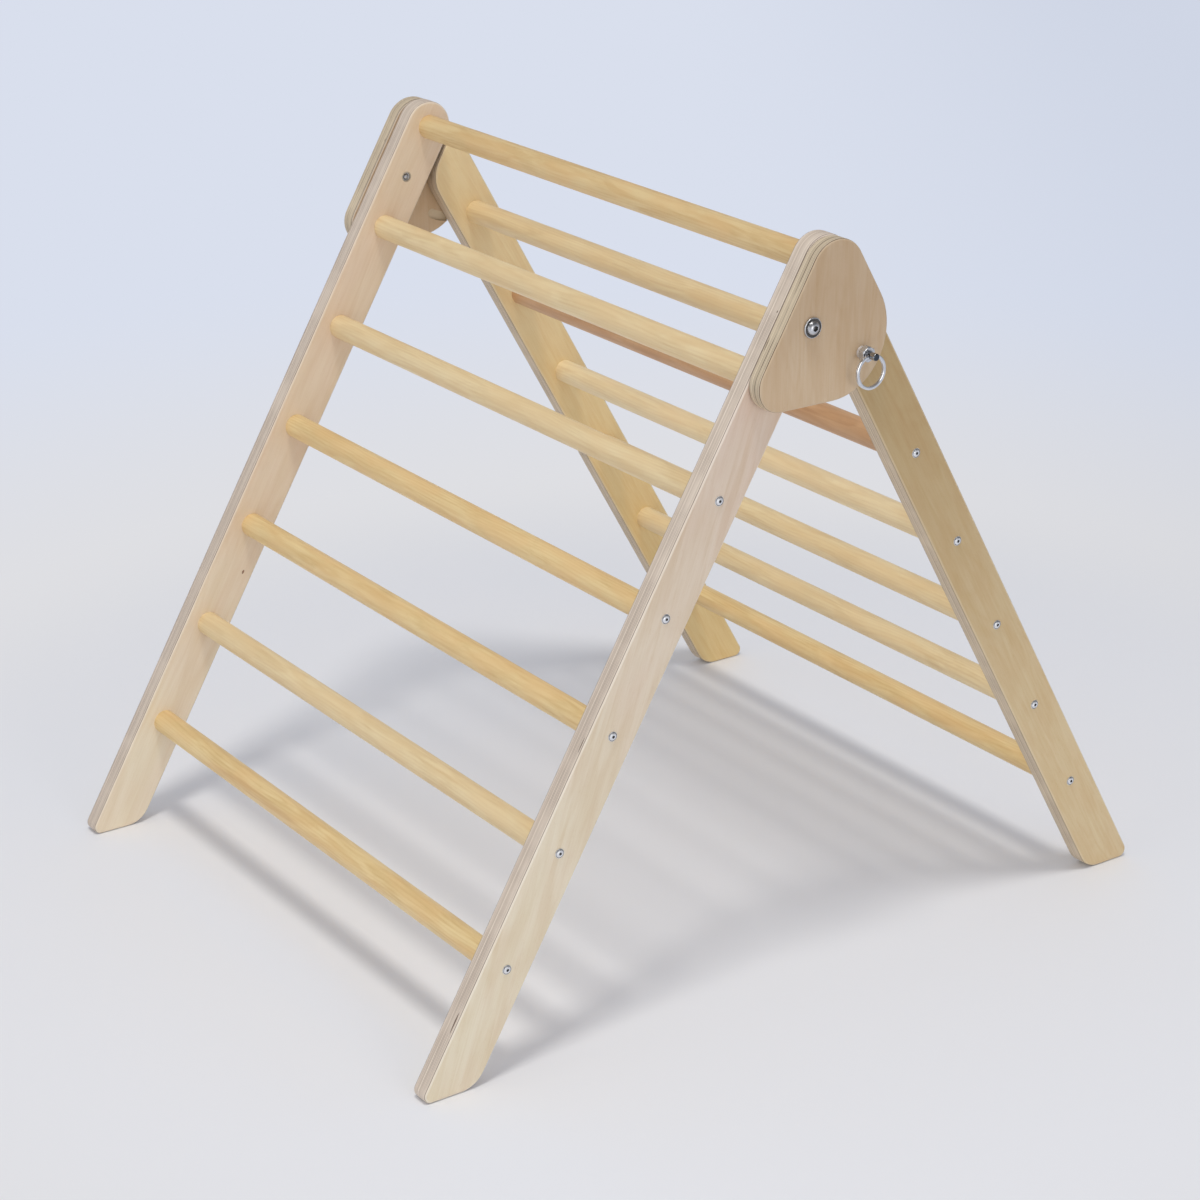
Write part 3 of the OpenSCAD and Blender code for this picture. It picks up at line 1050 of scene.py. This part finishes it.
# Painted shade: a dark steel for the bands marked shade on screw and bolt heads. It stands for the
# shade and dark reflection in their grooves, rings and sockets.
PAINTED_SHADE_STEEL = Steel("recess_steel", srgb(106, 104, 102), srgb(76, 74, 73), 0.48)
BOLT_STEEL = Steel("bolt_steel", srgb(204, 206, 210), srgb(172, 174, 180), 0.34)
INSERT_ZINC = Steel("insert_zinc", srgb(206, 192, 170), srgb(172, 158, 138), 0.6, metal=0.6)
PLAIN_STEEL = Steel("plain_steel", srgb(176, 178, 182), srgb(140, 142, 148), 0.38)
BUSH_BRASS = Steel("bush_brass", srgb(214, 184, 112), srgb(186, 150, 84), 0.35)
BARREL_STEEL = Steel(
    "plunger_steel", srgb(212, 214, 218), srgb(176, 178, 184), 0.24, metal=0.85
)
BOSS_STEEL = Steel("boss_steel", srgb(236, 237, 240), srgb(220, 221, 225), 0.5, metal=0.6)
# The lock pin's dark end is a painted reflection.
PIN_STEEL = Steel(
    "pin_steel", srgb(170, 173, 178), srgb(130, 133, 139), 0.22, end_from=0.3355
)
RING_CHROME = Steel("ring_chrome", srgb(222, 225, 230), srgb(196, 199, 206), 0.08)
SPRING_WIRE = Steel("spring_wire", srgb(140, 142, 148), srgb(110, 112, 118), 0.3)


# ---------- the object's measures


def centre_of(node: str) -> Vector:
    """The middle of a node's box."""
    low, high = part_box(node)
    return (low + high) / 2


@dataclass
class Measures:
    """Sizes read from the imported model. Inner and outer are the rails' faces."""

    apex: Vector = field(init=False)
    lean: float = field(init=False)
    gusset_outer: float = field(init=False)
    inner: dict[Ladder, float] = field(default_factory=dict)
    outer: dict[Ladder, float] = field(default_factory=dict)

    def __post_init__(self) -> None:
        """Reads the sizes from the nodes' boxes."""
        self.apex = centre_of("front_rung_1")
        last = centre_of("front_rung_7")
        self.lean = math.atan2(self.apex.y - last.y, self.apex.z - last.z)
        self.gusset_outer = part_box("gusset_right")[1].x
        for ladder in Ladder:
            low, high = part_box(f"{ladder.word}_rail_right")
            self.inner[ladder], self.outer[ladder] = low.x, high.x

    def rail_place(self, ladder: Ladder) -> BoardPlace:
        """Where a ladder's rails lie, with the grain along them.

        Args:
            ladder: Which ladder.

        Returns:
            The place.
        """
        aside, cosine = ladder.value * math.sin(self.lean), math.cos(self.lean)
        down, back = (0.0, aside, -cosine), (0.0, cosine, aside)
        return BoardPlace(tuple(self.apex), down, back, self.inner[ladder])

    def gusset_place(self) -> BoardPlace:
        """Where the gussets lie, with the grain upright."""
        face = self.outer[Ladder.FRONT]
        return BoardPlace(tuple(self.apex), (0.0, 0.0, -1.0), (0.0, 1.0, 0.0), face)

    def on_gusset(self, node: str, side: Side) -> Vector:
        """Where a node's axis along X meets a gusset's outer face.

        Args:
            node: The node.
            side: Which gusset.

        Returns:
            The point.
        """
        centre = centre_of(node)
        return Vector((side.value * self.gusset_outer, centre.y, centre.z))


# ---------- dressing the nodes


WELD_REACH = 0.002 * MM
SHARP_DEG = 40.0
EVEN_WEIGHT = 60


def dress(name: str, material: bpy.types.Material) -> None:
    """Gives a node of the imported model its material.

    Args:
        name: The node.
        material: Its material.
    """
    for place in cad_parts[name].material_slots:
        place.material = material
    log.info("dressed %s in %s", name, material.name)


def dress_board(name: str, finish: BirchPly, place: BoardPlace) -> None:
    """Dresses a board, with its rounded edges shaded smoothly and its faces flat.

    Args:
        name: The board's node.
        finish: Its plywood.
        place: Where it lies.
    """
    dress(name, finish.material(place))
    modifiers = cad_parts[name].modifiers
    modifiers.new("weld", "WELD").merge_threshold = WELD_REACH
    modifiers.new("sharp edges", "EDGE_SPLIT").split_angle = math.radians(SHARP_DEG)
    even = modifiers.new("even shading", "WEIGHTED_NORMAL")
    even.mode = "FACE_AREA"
    even.weight = EVEN_WEIGHT


# ---------- metal pieces


@dataclass(frozen=True)
class Turn:
    """One ring of a turned piece, in millimetres.

    Out is its place along the axis and reach its radius. Flats above 0 cuts it to a
    hexagon of that size across flats. Shade puts the band up to the next ring in the
    piece's second material. On screws and bolts that is a dark steel of painted shade
    and dark reflection in grooves, rings and sockets. On the plunger barrel it is the
    lighter boss steel.
    """

    out: float
    reach: float
    flats: float = 0.0
    shade: bool = False

    def radius(self, angle: float) -> float:
        """The ring's radius at an angle from upright.

        Args:
            angle: The angle, in radians.

        Returns:
            The radius, in millimetres.
        """
        if self.flats <= 0:
            return self.reach
        sixth = FULL_TURN / 6
        return min(self.reach, self.flats / 2 / math.cos(angle % sixth - sixth / 2))


@dataclass(frozen=True)
class SplitRing:
    """A split ring: flat wire with soft corners, wound side by side, in millimetres.

    Half is half the wire's size, away from the axis and along it. Jog is the share of a
    turn in which the wire steps over to the next one.
    """

    middle: float = 13.5
    half: tuple[float, float] = (1.35, 0.66)
    pitch: float = 1.36
    turns: int = 2
    steps: int = 72
    corners: int = 12
    jog: float = 0.09
    squareness: int = 3

    def lift(self, run: float) -> float:
        """How far along the axis the wire is after some turns.

        Args:
            run: The number of turns.

        Returns:
            The place, in millimetres from the ring's middle.
        """
        last = self.turns - 1
        whole = min(int(run), last)
        into = 0.0
        if whole < last:
            into = min(max((run - whole - (1 - self.jog)) / self.jog, 0.0), 1.0)
        return self.pitch * (whole + into * into * (3 - 2 * into) - last / 2)


@dataclass(frozen=True)
class Spring:
    """A compression spring with its end turns wound close, in metres."""

    middle: float = 3.55 * MM
    wire: float = 0.3 * MM
    turns: int = 7
    steps: int = 36
    corners: int = 8


Loop = list[bmesh.types.BMVert]


@dataclass
class MetalPiece:
    """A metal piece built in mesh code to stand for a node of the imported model."""

    node: str
    body: str
    slot: str
    points: int = 48
    crease_deg: float = 35.0
    mesh: bmesh.types.BMesh = field(default_factory=bmesh.new, repr=False)

    def turn(
        self, rings: Sequence[Turn], centre: Vector, side: Side, hollow: bool = False
    ) -> None:
        """Adds a shape turned about an axis along X.

        Args:
            rings: Its rings, in order along its outline.
            centre: The point on the axis that Out counts from.
            side: The side, which is the way that Out counts.
            hollow: Whether the outline closes on itself and leaves the axis open.
        """
        loops = []
        angles = [FULL_TURN * point / self.points for point in range(self.points)]
        for ring in rings:
            out = side.value * ring.out * MM
            loops.append([
                self._point(centre, out, ring.radius(angle) * MM, angle) for angle in angles
            ])
        self._skin(loops, [int(ring.shade) for ring in rings], hollow)

    def wind_ring(self, centre: Vector, ring: SplitRing) -> None:
        """Adds a split ring about an axis along X.

        Args:
            centre: Its middle.
            ring: Its sizes.
        """
        loops = []
        for step in range(ring.turns * ring.steps + 1):
            run = step / ring.steps
            lift, loop = ring.lift(run), []
            for corner in range(ring.corners):
                turn = FULL_TURN * corner / ring.corners
                power = ring.squareness
                full = abs(math.cos(turn)) ** power + abs(math.sin(turn)) ** power
                soft = 1 / full ** (1 / power)
                out = (lift + ring.half[1] * soft * math.sin(turn)) * MM
                reach = (ring.middle + ring.half[0] * soft * math.cos(turn)) * MM
                angle = -(FULL_TURN * run + math.pi)
                loop.append(self._point(centre, out, reach, angle))
            loops.append(loop)
        self._skin(loops, [0] * len(loops))

    def wind_spring(self, centre: Vector, length: float, spring: Spring) -> None:
        """Adds a spring about an axis along X.

        Args:
            centre: Its middle.
            length: Its length between the middles of its end wires, in metres.
            spring: Its other sizes.
        """
        closed, free_turns = 2 * spring.wire, spring.turns - 2
        opened = (length - 2 * closed) / free_turns - closed
        loops = []
        for step in range(spring.turns * spring.steps + 1):
            run = step / spring.steps
            lift = closed * run + opened * min(max(run - 1, 0), free_turns) - length / 2
            loop = []
            for corner in range(spring.corners):
                turn = FULL_TURN * corner / spring.corners
                out = lift + spring.wire * math.sin(turn)
                reach = spring.middle + spring.wire * math.cos(turn)
                loop.append(self._point(centre, out, reach, FULL_TURN * run))
            loops.append(loop)
        self._skin(loops, [0] * len(loops))

    def _point(
        self, centre: Vector, out: float, reach: float, angle: float
    ) -> bmesh.types.BMVert:
        """Adds a point, by its place along X, its reach from the axis and its angle."""
        y, z = reach * math.sin(angle), reach * math.cos(angle)
        return self.mesh.verts.new((centre.x + out, centre.y + y, centre.z + z))

    def _skin(self, loops: list[Loop], slots: list[int], hollow: bool = False) -> None:
        """Joins loops of points with faces.

        Args:
            loops: The loops, in order.
            slots: The material slot of the band that starts at each.
            hollow: Whether the last loop joins the first, in place of a cap on both.
        """
        pairs = list(zip(loops, loops[1:], slots))
        if hollow:
            pairs.append((loops[-1], loops[0], slots[-1]))
        for near, far, slot in pairs:
            for here in range(len(near)):
                after = (here + 1) % len(near)
                face = self.mesh.faces.new((near[here], near[after], far[after], far[here]))
                face.material_index = slot
        if not hollow:
            self.mesh.faces.new(loops[0])
            self.mesh.faces.new(loops[-1]).material_index = slots[-1]

    def place(self, materials: Sequence[bpy.types.Material]) -> bpy.types.Object:
        """Makes the object, which then stands for the node.

        Args:
            materials: Its materials, the second for the bands marked shade: painted
            shade on screws and bolts, and the boss on the plunger barrel.

        Returns:
            The object.
        """
        bmesh.ops.recalc_face_normals(self.mesh, faces=self.mesh.faces[:])
        for face in self.mesh.faces:
            face.smooth = True
        for edge in self.mesh.edges:
            edge.smooth = edge.calc_face_angle(0.0) < math.radians(self.crease_deg)
        made = bpy.data.meshes.new(self.node + "_made")
        self.mesh.to_mesh(made)
        self.mesh.free()
        for material in materials:
            made.materials.append(material)
        owner = bpy.data.objects.new(self.node + "_made", made)
        bpy.context.scene.collection.objects.link(owner)
        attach(owner, self.body)
        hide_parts(self.node)
        log.info("made %s", owner.name)
        return owner


# On the screw and the bolt, the bands marked shade are painted shade and dark reflection: the
# groove round the rim, the ring at the bolt's end, the ring under its dome and the hex socket. On
# the barrel, the band marked shade is the boss.
RUNG_SCREW = (
    Turn(-50.0, 0.2), Turn(-45.0, 2.3), Turn(0.05, 2.5), Turn(0.0, 4.2), Turn(0.35, 4.2),
    Turn(0.55, 4.0), Turn(0.55, 3.8, shade=True), Turn(0.35, 3.6, shade=True),
    Turn(0.55, 3.4), Turn(0.9, 3.1), Turn(1.15, 2.7), Turn(1.3, 2.2), Turn(1.4, 1.6),
    Turn(1.4, 1.6, 2.4, True), Turn(0.5, 1.6, 2.3, True), Turn(0.3, 0.3, shade=True),
)
GUSSET_BOLT = (
    Turn(-32.5, 1.0), Turn(-32.4, 1.6), Turn(-32.0, 2.1), Turn(-31.6, 2.4, shade=True),
    Turn(-31.6, 2.9), Turn(-31.8, 3.5), Turn(-31.6, 4.0), Turn(0.0, 4.0), Turn(0.0, 8.3),
    Turn(0.4, 8.5), Turn(1.3, 8.5), Turn(1.65, 8.3), Turn(1.8, 7.95),
    Turn(1.75, 7.75, shade=True), Turn(1.3, 7.5, shade=True), Turn(1.2, 6.0, shade=True),
    Turn(1.5, 5.8), Turn(2.3, 5.6), Turn(3.1, 5.1), Turn(3.8, 4.35), Turn(4.3, 3.5),
    Turn(4.6, 2.55), Turn(4.6, 2.9, 4.4, True), Turn(3.0, 2.9, 4.3, True), Turn(2.7, 0.3),
)
PLUNGER_BARREL = (
    Turn(-15.0, 3.05), Turn(-15.0, 4.7), Turn(-14.7, 5.0, shade=True), Turn(3.5, 5.0),
    Turn(3.5, 5.75, 12.0), Turn(3.9, 6.4, 12.0), Turn(4.3, 7.0, 12.0), Turn(8.6, 7.0, 12.0),
    Turn(9.1, 6.4, 12.0), Turn(9.5, 5.8, 12.0), Turn(9.5, 3.5), Turn(9.3, 3.05),
    Turn(7.5, 3.05), Turn(7.5, 4.1), Turn(-9.0, 4.1), Turn(-9.0, 3.05),
)


# ---------- sub-assemblies


@dataclass
class LadderLook:
    """One ladder's rails, rungs and rung screws."""

    measures: Measures
    ladder: Ladder
    rails: dict[Side, BirchPly]
    woods: tuple[RungWood, ...]
    screws: Sequence[bpy.types.Material]
    marks: dict[int, tuple[Mark, ...]] = field(default_factory=dict)

    def dress(self) -> None:
        """Dresses the ladder."""
        place = self.measures.rail_place(self.ladder)
        for side in Side:
            dress_board(f"{self.ladder.word}_rail_{side.word}", self.rails[side], place)
            self._turn_screws(side)
        for number, wood in enumerate(self.woods, start=1):
            rung = self._rung(number)
            dress(rung, self._rung_finish(number, wood).material(centre_of(rung)))

    def _rung(self, number: int) -> str:
        """The name of a rung, counted from the top."""
        return f"{self.ladder.word}_rung_{number}"

    def _rung_finish(self, number: int, wood: RungWood) -> DowelWood:
        """The finish of one rung, with a figure of its own.

        Args:
            number: Its number, counted from the top.
            wood: Its kind of wood.

        Returns:
            The finish.
        """
        seed = number + (0.5 if self.ladder is Ladder.REAR else 0.0)
        name = f"{self._rung(number)}_wood"
        return DowelWood(name, wood.value, seed, self.marks.get(number, ()))

    def _turn_screws(self, side: Side) -> None:
        """Turns the screws at one side's rung ends.

        Args:
            side: Which side.
        """
        word = self.ladder.word
        piece = MetalPiece(f"{word}_rung_screws_{side.word}", f"{word}_ladder", "screw_steel")
        face = side.value * self.measures.outer[self.ladder]
        for number in range(1, len(self.woods) + 1):
            rung = centre_of(self._rung(number))
            piece.turn(RUNG_SCREW, Vector((face, rung.y, rung.z)), side)
        piece.place(self.screws)


@dataclass
class GussetLook:
    """The gussets with their bolts, inserts and dowels."""

    measures: Measures
    finishes: dict[Side, BirchPly]
    dowel: DowelWood
    bolt: Sequence[bpy.types.Material]
    insert: bpy.types.Material

    def dress(self) -> None:
        """Dresses both gussets and what holds them."""
        place = self.measures.gusset_place()
        for side in Side:
            dress_board(f"gusset_{side.word}", self.finishes[side], place)
            dress(f"bolt_insert_{side.word}", self.insert)
            dowels = f"gusset_dowels_{side.word}"
            dress(dowels, self.dowel.material(centre_of(dowels)))
            node = f"gusset_bolt_{side.word}"
            piece = MetalPiece(node, "front_ladder", "bolt_steel")
            piece.turn(GUSSET_BOLT, self.measures.on_gusset(node, side), side)
            piece.place(self.bolt)


@dataclass
class HingeLook:
    """The pivots, bushes, index plungers and pull rings."""

    measures: Measures
    ring: SplitRing = SplitRing()
    spring: Spring = Spring()
    pull: float = 8.0 * MM

    def dress(self) -> None:
        """Dresses the hinge and lock hardware on both sides."""
        looks = {
            "pivot_pin": PLAIN_STEEL,
            "lock_bush": PLAIN_STEEL,
            "pivot_bush": BUSH_BRASS,
            "lock_pin": PIN_STEEL,
        }
        for piece, steel in looks.items():
            material = steel.material()
            for side in Side:
                dress(f"{piece}_{side.word}", material)
        barrel = (BARREL_STEEL.material(), BOSS_STEEL.material())
        chrome = (RING_CHROME.material(),)
        wire = (SPRING_WIRE.material(),)
        for side in Side:
            node = f"lock_barrel_{side.word}"
            piece = MetalPiece(node, "front_ladder", "plunger_steel")
            face = self.measures.on_gusset(node, side)
            piece.turn(PLUNGER_BARREL, face, side, hollow=True)
            piece.place(barrel)
            node = f"pull_ring_{side.word}"
            piece = MetalPiece(node, f"ring_{side.word}", "ring_chrome")
            piece.wind_ring(centre_of(node), self.ring)
            piece.place(chrome)
            self._wind_spring(side, wire)

    def _wind_spring(self, side: Side, materials: Sequence[bpy.types.Material]) -> None:
        """Winds one plunger's spring to the length of its node's box.

        Args:
            side: Which side.
            materials: The wire's material.
        """
        node = f"lock_spring_{side.word}"
        low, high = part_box(node)
        reach = high.x - low.x
        centre = (low + high) / 2
        piece = MetalPiece(node, "front_ladder", "spring_steel")
        piece.wind_spring(centre, reach - 2 * self.spring.wire, self.spring)
        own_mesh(piece.place(materials))


# ---------- studio


@dataclass(frozen=True)
class Lamp:
    """A round soft lamp: where it hangs, what it faces, its width, power and colour."""

    name: str
    place: Point
    target: Point
    size: float
    watts: float
    tone: Colour

    def hang(self) -> None:
        """Hangs the lamp, out of the camera's sight."""
        lamp = bpy.data.lights.new(self.name, "AREA")
        lamp.shape = "DISK"
        lamp.size = self.size
        lamp.energy = self.watts
        lamp.color = self.tone[:3]
        owner = bpy.data.objects.new(self.name, lamp)
        owner.location = self.place
        aim = Vector(self.target) - Vector(self.place)
        owner.rotation_euler = aim.to_track_quat("-Z", "Y").to_euler()
        owner.visible_camera = False
        bpy.context.scene.collection.objects.link(owner)


KEY = Lamp("key", (1.0, -0.88, 5.2), (0.0, 0.1, 0.3), 0.95, 84.0, srgb(255, 251, 244))
RIGHT_FILL = Lamp(
    "right_fill", (3.6, -0.3, 0.7), (0.0, 0.0, 0.2), 1.8, 19.0, srgb(255, 251, 246)
)
FRONT_FILL = Lamp(
    "front_fill", (0.4, -3.4, 0.8), (0.0, 0.0, 0.3), 2.5, 13.0, srgb(255, 251, 246)
)


@dataclass
class Studio:
    """The pale floor, the soft light and the camera.

    A reach is a distance on the floor over which one tone gives way to another, and
    dim_way the direction towards which painted shade darkens the floor's plain tone. The
    camera sees the floor's own shading near the object and plain tones farther out.
    """

    lamps: tuple[Lamp, ...] = (KEY, RIGHT_FILL, FRONT_FILL)
    floor_half: float = 14.0
    floor_tone: Colour = srgb(241, 242, 245)
    floor_roughness: float = 0.8
    floor_specular: float = 0.25
    object_middle: Point = (0.0, 0.1, 0.0)
    shadow_reach: tuple[float, float] = (0.62, 1.0)
    near_tone: Colour = srgb(223, 223, 226)
    far_tone: Colour = srgb(217, 223, 237)
    tone_reach: tuple[float, float] = (0.75, 2.0)
    # Painted shade on the floor's plain tone, towards dim_way.
    dim_tone: Colour = srgb(244, 245, 247)
    dim_way: Point = (0.58, 0.82, 0.0)
    dim_reach: tuple[float, float] = (0.1, 1.3)
    sky_high: Colour = srgb(240, 244, 255)
    sky_low: Colour = srgb(226, 229, 236)
    sky_range: tuple[float, float] = (-0.1, 0.8)
    sky_strength: float = 0.59
    ceiling: Colour = srgb(92, 95, 102)
    horizon: Colour = srgb(226, 228, 232)
    room_range: tuple[float, float] = (0.1, 0.55)
    camera_place: Point = (2.01625, -1.42759, 1.23375)
    camera_turn_deg: Point = (68.187, -0.163, 54.825)
    lens: float = 87.77
    sensor: float = 36.0

    def build(self) -> None:
        """Builds the floor, the world, the lamps and the camera."""
        bpy.context.scene.view_settings.view_transform = "Standard"
        self._floor()
        self._world()
        for lamp in self.lamps:
            lamp.hang()
        self._camera()

    def _floor(self) -> None:
        """Lays the floor, neutral near the object and cooler far away.

        Its plain tone also darkens with painted shade towards one side.
        """
        half = self.floor_half
        corners = [(-half, -half, 0), (half, -half, 0), (half, half, 0), (-half, half, 0)]
        mesh = bpy.data.meshes.new("floor")
        mesh.from_pydata(corners, [], [(0, 1, 2, 3)])
        floor = bpy.data.objects.new("floor", mesh)
        bpy.context.scene.collection.objects.link(floor)
        sheet = SkinSheet("studio_floor", self.floor_tone)
        sheet.fill(
            sheet.shader, Base_Color=self.floor_tone, Roughness=self.floor_roughness,
            Specular_IOR_Level=self.floor_specular,
        )
        reach = sheet.position.vector("DISTANCE", self.object_middle, out="Value")
        far = reach.smooth(*self.tone_reach)
        tone = sheet.blend(far, self.near_tone, self.far_tone)
        # Painted shade: the plain tone darkens towards dim_way.
        aside = sheet.position.vector("DOT_PRODUCT", self.dim_way, out="Value")
        shaded_tone = sheet.blend(1.0, tone, self.dim_tone, "MULTIPLY")
        tone = sheet.blend(aside.smooth(*self.dim_reach), tone, shaded_tone)
        backdrop = sheet.node("ShaderNodeEmission", tone)
        seen = sheet.node("ShaderNodeLightPath", out="Is Camera Ray")
        plain = reach.smooth(*self.shadow_reach) * seen
        mix = sheet.node("ShaderNodeMixShader", plain, sheet.out(sheet.shader), backdrop)
        sheet.fill(sheet.tree.nodes["Material Output"], Surface=mix)
        mesh.materials.append(sheet.material)

    def _world(self) -> None:
        """Sets an even, slightly cool sky. Metal sees a dim ceiling over a pale horizon."""
        world = bpy.data.worlds.new("studio")
        world.use_nodes = True
        bpy.context.scene.world = world
        sheet = Sheet(world.node_tree)
        upward = sheet.node("ShaderNodeTexCoord", out="Generated").parts()[2]
        sky = sheet.blend(upward.smooth(*self.sky_range), self.sky_low, self.sky_high)
        room = sheet.blend(upward.smooth(*self.room_range), self.horizon, self.ceiling)
        rays = sheet.add("ShaderNodeLightPath")
        light = sheet.blend(sheet.out(rays, "Is Glossy Ray"), sky, room)
        lit = sheet.tree.nodes["Background"]
        sheet.fill(lit, Color=light, Strength=self.sky_strength)
        mix = sheet.node(
            "ShaderNodeMixShader",
            sheet.out(rays, "Is Camera Ray"),
            sheet.out(lit),
            sheet.node("ShaderNodeBackground", self.far_tone),
        )
        sheet.fill(sheet.tree.nodes["World Output"], Surface=mix)

    def _camera(self) -> None:
        """Places the camera where the photograph was taken from."""
        lens = bpy.data.cameras.new("camera")
        lens.lens = self.lens
        lens.sensor_width = self.sensor
        owner = bpy.data.objects.new("camera", lens)
        owner.location = self.camera_place
        turn = [math.radians(angle) for angle in self.camera_turn_deg]
        owner.rotation_euler = Euler(turn, "XYZ")
        bpy.context.scene.collection.objects.link(owner)
        bpy.context.scene.camera = owner


# ---------- the whole object


def main() -> None:
    """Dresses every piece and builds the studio."""
    logging.basicConfig(level=logging.INFO, format="%(name)s: %(message)s")
    draw_effects()
    measures = Measures()
    # The second material of screws and bolts is the dark steel of painted shade.
    screw, painted_shade, bolt, insert = (
        steel.material() for steel in (SCREW_ZINC, PAINTED_SHADE_STEEL, BOLT_STEEL, INSERT_ZINC)
    )
    screws = (screw, painted_shade)
    LadderLook(
        measures, Ladder.FRONT, FRONT_RAILS, FRONT_WOODS, screws, FRONT_STREAKS
    ).dress()
    LadderLook(measures, Ladder.REAR, REAR_RAILS, REAR_WOODS, screws).dress()
    GussetLook(measures, GUSSETS, GUSSET_DOWEL, (bolt, painted_shade), insert).dress()
    HingeLook(measures).dress()
    Studio().build()


if __name__ == "__main__":
    main()
